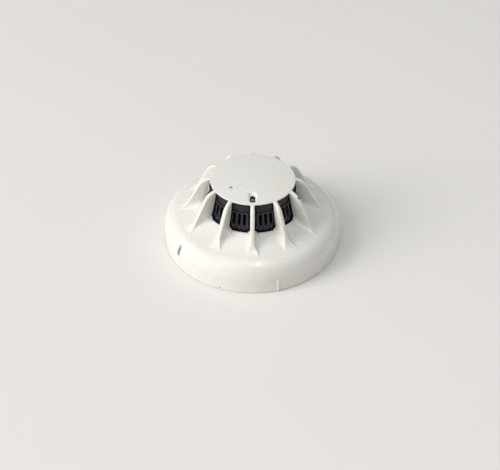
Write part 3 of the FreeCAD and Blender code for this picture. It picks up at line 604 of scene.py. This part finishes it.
def build_lid():
    """The slotted black lid of the sensing chamber, with the walls of the lamp channel inside it."""
    inner = LID_INNER_R
    lid = turned("lid_moulding", [
        (0, LID_PLATE), (CROWN_IN_R, LID_PLATE), (CROWN_IN_R, SLOT_TOP), (inner, SLOT_TOP),
        (inner + 0.6, SLOT_FOOT), (LID_FOOT_R - 1.2, LID_FOOT), (LID_FOOT_R, LID_FOOT), (LID_R, SLOT_TOP),
        (FLANGE_R, SLOT_TOP), (FLANGE_R, FLANGE_TOP), (CROWN_OUT_R, FLANGE_TOP),
        (CROWN_OUT_R - 0.5, LID_TOP), (0, LID_TOP),
    ])
    half = CHANNEL_HALF + CHANNEL_WALL
    walls_low = (-half, -inner - 0.4, LID_FOOT)
    walls_high = (half, CHANNEL_WALL - CHANNEL_IN_R, LID_TOP - 0.4)
    boolean(lid, box_between("walls", walls_low, walls_high), "UNION")
    channel = box_between("channel", (-CHANNEL_HALF, -30, 20), (CHANNEL_HALF, -CHANNEL_IN_R, 42))
    boolean(lid, channel, "DIFFERENCE")
    bead = stand(box_between("bead_channel", (-1.9, -30, 0), (1.9, -22.1, 14.9)), 0, 165, 20)
    boolean(lid, bead, "DIFFERENCE")
    cutters = []
    for number in range(SLOTS):
        block = rounded_block("slot", (SLOT_WIDTH, 6.0, SLOT_TOP - SLOT_FOOT), 0.02, 1)
        azimuth = 360 * (number + 0.5) / SLOTS
        cutters.append(stand(block, inner + 2.5, azimuth, (SLOT_TOP + SLOT_FOOT) / 2))
    boolean(lid, join("slots", cutters), "DIFFERENCE")
    soften(lid, 0.18)
    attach(lid, "lid")
    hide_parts("chamber_lid")
    return lid


SCREEN_R, SCREEN_LOW, SCREEN_HIGH = 22.15, 26.6, 38.6
WIRE_R, WEAVE = 0.1, 0.05


def add_tube(verts, faces, points, radius, sides=5):
    """A thin tube through points, open-ended runs closed by their end faces."""
    points = [np.array(point, float) for point in points]
    offset = len(verts)
    for index, point in enumerate(points):
        ahead = points[min(index + 1, len(points) - 1)] - points[max(index - 1, 0)]
        ahead /= np.linalg.norm(ahead)
        outward = np.array([point[0], point[1], 0.0])
        outward -= ahead * (outward @ ahead)
        outward /= np.linalg.norm(outward)
        across = np.cross(ahead, outward)
        for side in range(sides):
            turn = 2 * math.pi * side / sides
            verts.append(tuple(point + (outward * math.cos(turn) + across * math.sin(turn)) * radius))
    faces.extend(grid_faces(len(points), sides, offset, wrap=True))
    faces.append(tuple(offset + side for side in range(sides)))
    faces.append(tuple(offset + (len(points) - 1) * sides + side for side in reversed(range(sides))))


def build_screen():
    """Woven wire cloth bent to a hoop, open at the lamp channel, with a rolled band at each edge."""
    gap = math.asin((CHANNEL_HALF + CHANNEL_WALL + 0.35) / SCREEN_R)
    uprights, hoops = 126, 11
    verts, faces = [], []
    low, high = SCREEN_LOW + 0.35, SCREEN_HIGH - 0.35
    for number in range(uprights):
        azimuth = gap + (2 * math.pi - 2 * gap) * number / (uprights - 1)
        side = 1 if number % 2 else -1
        points = []
        for step in range(2 * hoops + 1):
            height = low + (high - low) * step / (2 * hoops)
            bend = math.sin(math.pi * step / 2 - math.pi / 4)
            points.append(polar(SCREEN_R + side * WEAVE * bend, azimuth, height))
        add_tube(verts, faces, points, WIRE_R * MM)
    for hoop in range(hoops):
        height = low + (high - low) * (hoop + 0.5) / hoops
        side = 1 if hoop % 2 else -1
        points = []
        for step in range(2 * uprights - 1):
            azimuth = gap + (2 * math.pi - 2 * gap) * step / (2 * uprights - 2)
            points.append(polar(SCREEN_R - side * WEAVE * math.cos(math.pi * step / 2), azimuth, height))
        add_tube(verts, faces, points, WIRE_R * MM, 4)
    for height in (SCREEN_LOW + 0.3, SCREEN_HIGH - 0.3):
        band = []
        for step in range(241):
            azimuth = gap + (2 * math.pi - 2 * gap) * step / 240
            section = ((-0.12, -0.28), (0.12, -0.28), (0.15, 0.0), (0.12, 0.28), (-0.12, 0.28), (-0.15, 0.0))
            band.append([polar(SCREEN_R + out, azimuth, height + up) for out, up in section])
        offset = len(verts)
        for row in band:
            verts.extend(row)
        faces.extend(grid_faces(len(band), 6, offset, wrap=True))
        faces.append(tuple(range(offset, offset + 6)))
        faces.append(tuple(reversed(range(offset + 240 * 6, offset + 241 * 6))))
    screen = link_mesh("screen_cloth", verts, faces, sharp_deg=70, weld=1e-9)
    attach(screen, "lid")
    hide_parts("insect_screen")
    return screen


LENS_R, LENS_FLANGE_R, LENS_FOOT, LENS_TOP = 1.38, 1.75, 35.6, 41.45
FRAME_HALF, FRAME_FOOT, FRAME_TOP = 0.28, 36.0, 40.6


def build_lamp():
    """A light-emitting diode: a clear epoxy dome with a flange, and the two posts of its lead frame in it."""
    shoulder = LENS_TOP - LENS_R
    corners = [(0, LENS_FOOT), (LENS_FLANGE_R - 0.15, LENS_FOOT), (LENS_FLANGE_R, LENS_FOOT + 0.15),
               (LENS_FLANGE_R, 36.35), (LENS_FLANGE_R - 0.15, 36.5), (LENS_R, 36.5), (LENS_R, 37.5)]
    for step in range(13):
        turn = math.pi / 2 * step / 12
        corners.append((LENS_R * math.cos(turn), shoulder + LENS_R * math.sin(turn)))
    lens = turned("lamp_dome", corners, steps=48)
    lens.data.transform(Matrix.Translation((0, -LAMP_R * MM, 0)))
    post = box_between("frame_post", (-FRAME_HALF, -1.0, FRAME_FOOT), (FRAME_HALF, -0.42, FRAME_TOP))
    anvil = box_between("frame_anvil", (-FRAME_HALF, 0.42, FRAME_FOOT), (FRAME_HALF, 1.0, FRAME_TOP))
    bridge = box_between("frame_wire", (-0.16, -0.5, 40.1), (0.16, 0.5, 40.35))
    lead_frame = join("lamp_lead_frame", [post, anvil, bridge])
    lead_frame.data.transform(Matrix.Translation((0, -LAMP_R * MM, 0)) @ Matrix.Rotation(math.pi / 2, 4, "Z"))
    tidy_mesh(lead_frame, 35, 1e-7)
    for piece, slot_name in ((lens, "lamp_lens"), (lead_frame, "tinned_lead")):
        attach(piece, "chassis")
        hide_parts("alarm_lamp")
    return lens, lead_frame


# ---------------------------------------------------------------- materials

class Nodes:
    """A short way to write a node material on object coordinates."""

    def __init__(self, name):
        self.material = bpy.data.materials.new(name)
        self.material.use_nodes = True
        self.tree = self.material.node_tree
        self.tree.nodes.clear()
        self.output = self.tree.nodes.new("ShaderNodeOutputMaterial")
        self.shader = self.tree.nodes.new("ShaderNodeBsdfPrincipled")
        self.link(self.shader.outputs[0], self.output.inputs["Surface"])
        self.coords = self.tree.nodes.new("ShaderNodeTexCoord").outputs["Object"]

    def link(self, source, target):
        self.tree.links.new(source, target)

    def put(self, target, value):
        if isinstance(value, bpy.types.NodeSocket):
            self.link(value, target)
        else:
            target.default_value = value

    def set(self, **values):
        for name, value in values.items():
            self.put(self.shader.inputs[name.replace("_", " ")], value)

    def noise(self, scale, detail=4.0, roughness=0.55, distortion=0.0, vector=None):
        node = self.tree.nodes.new("ShaderNodeTexNoise")
        node.inputs["Scale"].default_value = scale
        node.inputs["Detail"].default_value = detail
        node.inputs["Roughness"].default_value = roughness
        node.inputs["Distortion"].default_value = distortion
        self.link(vector or self.coords, node.inputs["Vector"])
        return node.outputs["Fac"]

    def cells(self, scale, feature="F1", vector=None):
        node = self.tree.nodes.new("ShaderNodeTexVoronoi")
        node.feature = feature
        node.inputs["Scale"].default_value = scale
        self.link(vector or self.coords, node.inputs["Vector"])
        return node.outputs["Distance"]

    def stretch(self, x, y, z):
        node = self.tree.nodes.new("ShaderNodeMapping")
        node.inputs["Scale"].default_value = (x, y, z)
        self.link(self.coords, node.inputs["Vector"])
        return node.outputs["Vector"]

    def remap(self, value, low, high, to_low=0.0, to_high=1.0):
        node = self.tree.nodes.new("ShaderNodeMapRange")
        node.interpolation_type = "SMOOTHSTEP"
        self.link(value, node.inputs["Value"])
        for name, number in (("From Min", low), ("From Max", high), ("To Min", to_low), ("To Max", to_high)):
            node.inputs[name].default_value = number
        return node.outputs["Result"]

    def math(self, operation, first, second=0.0):
        node = self.tree.nodes.new("ShaderNodeMath")
        node.operation = operation
        self.put(node.inputs[0], first)
        self.put(node.inputs[1], second)
        return node.outputs[0]

    def blend(self, factor, first, second):
        node = self.tree.nodes.new("ShaderNodeMix")
        node.data_type = "RGBA"
        self.put(node.inputs["Factor"], factor)
        self.put(node.inputs["A"], first)
        self.put(node.inputs["B"], second)
        return node.outputs["Result"]

    def bump(self, height, distance, strength=1.0, under=None):
        node = self.tree.nodes.new("ShaderNodeBump")
        node.inputs["Strength"].default_value = strength
        node.inputs["Distance"].default_value = distance
        self.link(height, node.inputs["Height"])
        if under:
            self.link(under, node.inputs["Normal"])
        return node.outputs["Normal"]

    def near(self, point, radius, ragged=0.4, scale=2500.0):
        """A soft-edged spot of a radius in metres about a point, with a ragged outline."""
        node = self.tree.nodes.new("ShaderNodeVectorMath")
        node.operation = "DISTANCE"
        self.link(self.coords, node.inputs[0])
        node.inputs[1].default_value = point
        swing = self.math("SUBTRACT", self.noise(scale, 3.0), 0.5)
        wobble = self.math("MULTIPLY", swing, radius * ragged * 2)
        return self.remap(self.math("ADD", node.outputs["Value"], wobble), radius * 0.7, radius, 1.0, 0.0)


def rgb(red, green, blue):
    """A linear colour from 0-255 sRGB values."""
    def linear(value):
        value /= 255
        return value / 12.92 if value <= 0.04045 else ((value + 0.055) / 1.055) ** 2.4
    return (linear(red), linear(green), linear(blue), 1.0)


def on_cap(right, back):
    """A point on the cap, by shares of the cap's radius to the right and to the back."""
    return (CAP_R * right, CAP_R * back, dome_height(CAP_R * math.hypot(right, back)))


def on_fin(fin, radius):
    """A point on the ridge of a fin, counted from the front one towards +X."""
    azimuth = 2 * HALF_SECTOR * fin
    return (radius * math.sin(azimuth), -radius * math.cos(azimuth), ridge_height(radius))


def on_skirt(azimuth, height):
    """A point on the skirt's wall."""
    return (SKIRT_R * math.sin(azimuth), -SKIRT_R * math.cos(azimuth), height)


# marks of use, as (place, radius, strength, colour): a scuff and two pits on the cap, a
# chip on a fin's crown and a speck low on the skirt
SCUFF_GREY, CHIP_BROWN = (115, 108, 100), (95, 72, 52)
MARKS = [
    (on_cap(-0.5, -0.4), 1.3, 0.8, SCUFF_GREY),
    (on_cap(-0.35, -0.4), 0.5, 0.6, SCUFF_GREY),
    (on_cap(-0.25, -0.3), 0.4, 0.6, SCUFF_GREY),
    (on_fin(2, 31.0), 1.1, 0.9, CHIP_BROWN),
    (on_skirt(math.radians(-20), 1.5), 0.6, 0.8, SCUFF_GREY),
]


def cover_material():
    """Glossy off-white ABS, a little yellowed, with fine dust, faint scuffs and a few marks of use."""
    n = Nodes("cover_abs")
    clean = n.blend(n.remap(n.noise(28, 3), 0.35, 0.7), rgb(227, 225, 220), rgb(223, 220, 214))
    dust = n.remap(n.noise(2600, 2), 0.68, 0.78)
    colour = n.blend(n.math("MULTIPLY", dust, 0.18), clean, rgb(150, 140, 125))
    scuffs = n.remap(n.noise(420, 5, 0.65, 0.6, n.stretch(1.0, 0.35, 1.0)), 0.68, 0.76)
    colour = n.blend(n.math("MULTIPLY", scuffs, 0.05), colour, rgb(150, 144, 134))
    for point, radius, strength, tint in MARKS:
        spot = n.near([length * MM for length in point], radius * MM, 0.8)
        colour = n.blend(n.math("MULTIPLY", spot, strength), colour, rgb(*tint))
    n.set(Base_Color=colour)
    polish = n.remap(n.noise(90, 5), 0.3, 0.75, 0.25, 0.29)
    n.set(Roughness=n.math("ADD", polish, n.math("MULTIPLY", scuffs, 0.02)))
    grain = n.bump(n.noise(1800, 3), 0.000004, 0.3)
    n.set(Normal=n.bump(n.noise(160, 3), 0.000012, 0.25, grain))
    n.set(IOR=1.53, Subsurface_Weight=0.12, Subsurface_Scale=0.0015, Coat_Weight=0.6, Coat_Roughness=0.02)
    n.shader.inputs["Subsurface Radius"].default_value = (1.0, 0.85, 0.6)
    return n.material


def black_moulding():
    """Black chamber plastic with a fine spark-eroded texture and a little grey dust."""
    n = Nodes("chamber_black")
    plain = n.blend(n.remap(n.noise(900, 3), 0.3, 0.8), rgb(25, 25, 33), rgb(33, 33, 42))
    dust = n.math("MULTIPLY", n.remap(n.noise(1700, 4, 0.7), 0.6, 0.72), 0.22)
    n.set(Base_Color=n.blend(dust, plain, rgb(104, 102, 104)))
    n.set(Roughness=n.remap(n.noise(1500, 3), 0.2, 0.8, 0.2, 0.36))
    n.set(Normal=n.bump(n.noise(3800, 2), 0.00002, 0.4), Specular_IOR_Level=0.5)
    return n.material


def plain_plastic(name, light, dark, rough=(0.4, 0.55), grain=0.00002, scale=2200):
    """A moulded plastic of two close shades with a fine grain."""
    n = Nodes(name)
    n.set(Base_Color=n.blend(n.remap(n.noise(120, 4), 0.3, 0.75), light, dark))
    n.set(Roughness=n.remap(n.noise(800, 3), 0.25, 0.8, *rough))
    n.set(Normal=n.bump(n.noise(scale, 3), grain, 0.5))
    return n.material


def brushed_metal(name, light, dark, rough=(0.22, 0.4), vector=(1.0, 0.08, 1.0)):
    """A drawn or brushed metal, streaked along one direction."""
    n = Nodes(name)
    streaks = n.noise(4500, 3, 0.6, 0.0, n.stretch(*vector))
    n.set(Base_Color=n.blend(n.remap(streaks, 0.3, 0.75), light, dark), Metallic=1.0)
    n.set(Roughness=n.remap(n.noise(700, 4), 0.25, 0.75, *rough))
    n.set(Normal=n.bump(streaks, 0.000006, 0.5))
    return n.material


def board_material():
    """Dark green solder mask with copper tracks under it, tinned pads and drops of flux."""
    n = Nodes("solder_mask")
    mask = n.blend(n.remap(n.noise(120, 4), 0.3, 0.75), rgb(12, 42, 27), rgb(8, 32, 20))
    tracks = n.remap(n.cells(330, "DISTANCE_TO_EDGE"), 0.02, 0.05, 1.0, 0.0)
    pads = n.remap(n.cells(430), 0.1, 0.13, 1.0, 0.0)
    flux = n.remap(n.noise(240, 5, 0.6, 0.4), 0.6, 0.72)
    colour = n.blend(n.math("MULTIPLY", tracks, 0.7), mask, rgb(26, 74, 44))
    colour = n.blend(pads, colour, rgb(176, 172, 158))
    n.set(Base_Color=n.blend(n.math("MULTIPLY", flux, 0.25), colour, rgb(96, 84, 44)))
    n.set(Metallic=n.math("MULTIPLY", pads, 0.9), Roughness=n.remap(flux, 0.0, 1.0, 0.34, 0.16))
    n.set(Normal=n.bump(n.math("ADD", tracks, pads), 0.00003, 0.6))
    return n.material


def lamp_epoxy():
    """Water-clear epoxy, gone a little smoky, with faint flow lines."""
    n = Nodes("lamp_epoxy")
    n.set(Base_Color=n.blend(n.noise(900, 4, 0.6, 0.5), rgb(160, 160, 164), rgb(146, 146, 152)))
    n.set(Roughness=n.remap(n.noise(2000, 3), 0.3, 0.7, 0.03, 0.08), Transmission_Weight=0.6, IOR=1.5)
    n.set(Normal=n.bump(n.noise(1500, 2), 0.000004, 0.3))
    return n.material


# the range of roughness of a cast lens
POLISHED = (0.08, 0.15)

MATERIALS = {
    "cover_plastic": cover_material,
    "rear_plastic": lambda: plain_plastic("rear_abs", rgb(222, 217, 204), rgb(214, 208, 194)),
    "black_plastic": black_moulding,
    "screen_mesh": lambda: brushed_metal("screen_wire", rgb(120, 120, 122), rgb(90, 90, 92)),
    "board_laminate": lambda: board_material(),
    "chip_package": lambda: plain_plastic("epoxy_package", rgb(38, 38, 40), rgb(28, 28, 30), (0.5, 0.65)),
    "capacitor_can": lambda: brushed_metal("drawn_can", rgb(205, 205, 208), rgb(180, 180, 184)),
    "capacitor_ceramic": lambda: plain_plastic("ceramic", rgb(172, 138, 100), rgb(150, 118, 84)),
    "resistor_body": lambda: plain_plastic("resistor", rgb(30, 30, 34), rgb(44, 44, 50), (0.3, 0.45)),
    "tinned_lead": lambda: brushed_metal("tinned_copper", rgb(205, 202, 194), rgb(180, 176, 168)),
    "contact_metal": lambda: brushed_metal("nickel_strip", rgb(208, 205, 196), rgb(186, 182, 172)),
    "rivet_metal": lambda: brushed_metal("rivet_steel", rgb(190, 188, 182), rgb(160, 158, 152)),
    "screw_metal": lambda: brushed_metal("zinc_steel", rgb(182, 184, 188), rgb(150, 152, 156)),
    "label_stock": lambda: plain_plastic("label_film", rgb(200, 202, 204), rgb(190, 192, 195), (0.3, 0.4)),
    "lamp_lens": lambda: lamp_epoxy(),
    "post_plastic": lambda: plain_plastic("nylon_post", rgb(40, 40, 42), rgb(30, 30, 32)),
    "emitter_lens": lambda: plain_plastic("emitter_epoxy", rgb(90, 110, 190), rgb(80, 100, 176), POLISHED),
    "photodiode_lens": lambda: plain_plastic("diode_epoxy", rgb(24, 18, 24), rgb(34, 26, 32), POLISHED),
    "thermistor_glass": lambda: plain_plastic("bead_glass", rgb(150, 80, 40), rgb(120, 60, 30), POLISHED),
}


# the materials made so far, by slot
made = {}


def paint(obj, slot_name):
    """Give an object the material of a slot, made once."""
    if slot_name not in made:
        made[slot_name] = MATERIALS[slot_name]()
    obj.data.materials.clear()
    obj.data.materials.append(made[slot_name])


def paint_cad_nodes():
    """Give every node that is carried over its own material."""
    for entry in frame["record"]["subparts"]:
        if entry["material_slot"] in MATERIALS:
            paint(frame["nodes"][entry["node"]], entry["material_slot"])


# ---------------------------------------------------------------- floor, light and camera

def build_stage():
    """The floor, the lamps and the light of the room."""
    bpy.ops.mesh.primitive_plane_add(size=6.0, location=(0, 0, -0.0001))
    floor = bpy.context.object
    floor.name = "floor"
    n = Nodes("floor_paper")
    n.set(Base_Color=n.blend(n.noise(3.0, 3), rgb(223, 220, 217), rgb(228, 225, 222)), Roughness=0.8)
    floor.data.materials.append(n.material)

    def area_light(name, azimuth, elevation, along, distance, size, watts, colour, mirrored=True):
        """A flat lamp facing the object, placed by angles in degrees, its longer side along a direction."""
        light = bpy.data.lights.new(name, "AREA")
        light.shape = "RECTANGLE"
        light.size, light.size_y = size
        light.energy = watts
        light.color = colour
        obj = bpy.data.objects.new(name, light)
        turned_by, raised_by = math.radians(azimuth), math.radians(elevation)
        way = Vector((math.sin(turned_by) * math.cos(raised_by), -math.cos(turned_by) * math.cos(raised_by),
                      math.sin(raised_by)))
        side = Vector(along).cross(way).normalized()
        turn = Matrix((side, way.cross(side), way)).transposed().to_4x4()
        obj.matrix_world = Matrix.Translation(way * distance) @ turn
        obj.visible_glossy = mirrored
        bpy.context.scene.collection.objects.link(obj)

    area_light("window", -70, 28, (0, 0, 1), 3.5, (1.8, 2.5), 98.0, (1.0, 0.965, 0.94), False)
    area_light("bright_wall", -70, 33, (0, 0, 1), 4.0, (4.5, 4.5), 42.0, (1.0, 0.965, 0.94))
    area_light("ceiling_lamp", 16, 73, (0.1, 1, 0.3), 1.4, (0.022, 0.55), 2.0,
               (1.0, 0.99, 0.97))
    area_light("far_lamp", 75, 42, (0.3, 1, 0), 1.4, (0.012, 0.4), 0.1, (1.0, 0.98, 0.95))
    area_light("room", 45, 82, (0, 1, 0), 2.6, (3.0, 3.0), 19.5, (0.87, 0.95, 1.0))

    world = bpy.data.worlds.new("studio")
    world.use_nodes = True
    world.node_tree.nodes["Background"].inputs[0].default_value = (1.0, 0.995, 0.98, 1.0)
    world.node_tree.nodes["Background"].inputs[1].default_value = 0.32
    bpy.context.scene.world = world


CAMERA_PITCH, CAMERA_YAW, CAMERA_ROLL = 40.344, -0.241, 0.271
CAMERA_PLACE_M = (0.0, -0.36136, 0.30467)


def build_camera():
    """A camera in front of the head, looking down at it."""
    pitch, yaw, roll = math.radians(CAMERA_PITCH), math.radians(CAMERA_YAW), math.radians(CAMERA_ROLL)
    forward = Vector((math.sin(yaw) * math.cos(pitch), math.cos(yaw) * math.cos(pitch), -math.sin(pitch)))
    level = Vector((math.cos(yaw), -math.sin(yaw), 0.0))
    above = level.cross(forward)
    right = math.cos(roll) * level + math.sin(roll) * above
    up = -math.sin(roll) * level + math.cos(roll) * above
    camera = bpy.data.cameras.new("camera")
    camera.lens = 54.0
    camera.sensor_width = 36.0
    camera.sensor_fit = "HORIZONTAL"
    camera.clip_start = 0.01
    obj = bpy.data.objects.new("camera", camera)
    turn = Matrix((right, up, -forward)).transposed().to_4x4()
    obj.matrix_world = Matrix.Translation(CAMERA_PLACE_M) @ turn
    bpy.context.scene.collection.objects.link(obj)
    bpy.context.scene.camera = obj


paint_cad_nodes()
paint(build_cover(), "cover_plastic")
paint(build_lid(), "black_plastic")
paint(build_screen(), "screen_mesh")
lamp_dome, lead_frame = build_lamp()
paint(lamp_dome, "lamp_lens")
paint(lead_frame, "tinned_lead")
build_stage()
build_camera()
bpy.context.scene.view_settings.view_transform = "Standard"
